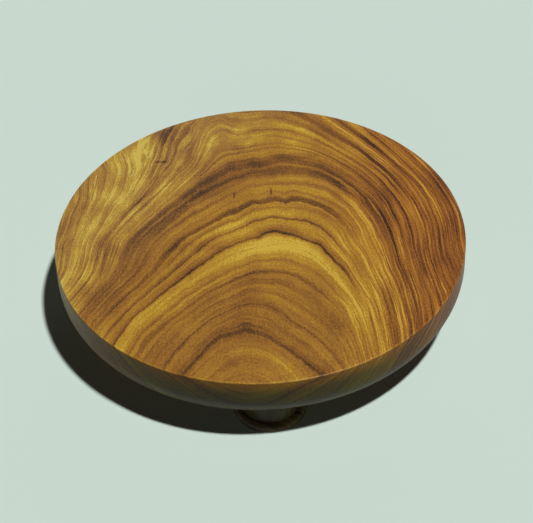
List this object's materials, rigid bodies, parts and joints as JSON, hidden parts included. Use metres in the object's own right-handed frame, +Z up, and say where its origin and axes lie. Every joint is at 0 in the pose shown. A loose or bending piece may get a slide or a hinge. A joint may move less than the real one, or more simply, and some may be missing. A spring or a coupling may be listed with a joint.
{
  "type": "chakla rolling board",
  "caption": "Round flat wooden board for rolling dough, with a curved underside edge, standing on short turned legs that are spigoted, glued and screwed to it.",
  "frame": {"origin": "on the board's vertical axis, at the level of the surface that the legs stand on", "axes": "+Z up, square to the board's top; -Y towards the front leg; +X to the right as seen from the front"},
  "size_m": [0.254, 0.254, 0.05],
  "materials": {
    "board_wood": "satin varnish",
    "leg_wood": "satin varnish",
    "screw_steel": "zinc plated"
  },
  "bodies": {
    "root": {"board": "board_wood", "leg_front": "leg_wood", "leg_rear_left": "leg_wood", "leg_rear_right": "leg_wood", "screw_front": "screw_steel", "screw_rear_left": "screw_steel", "screw_rear_right": "screw_steel"}
  },
  "joints": []
}
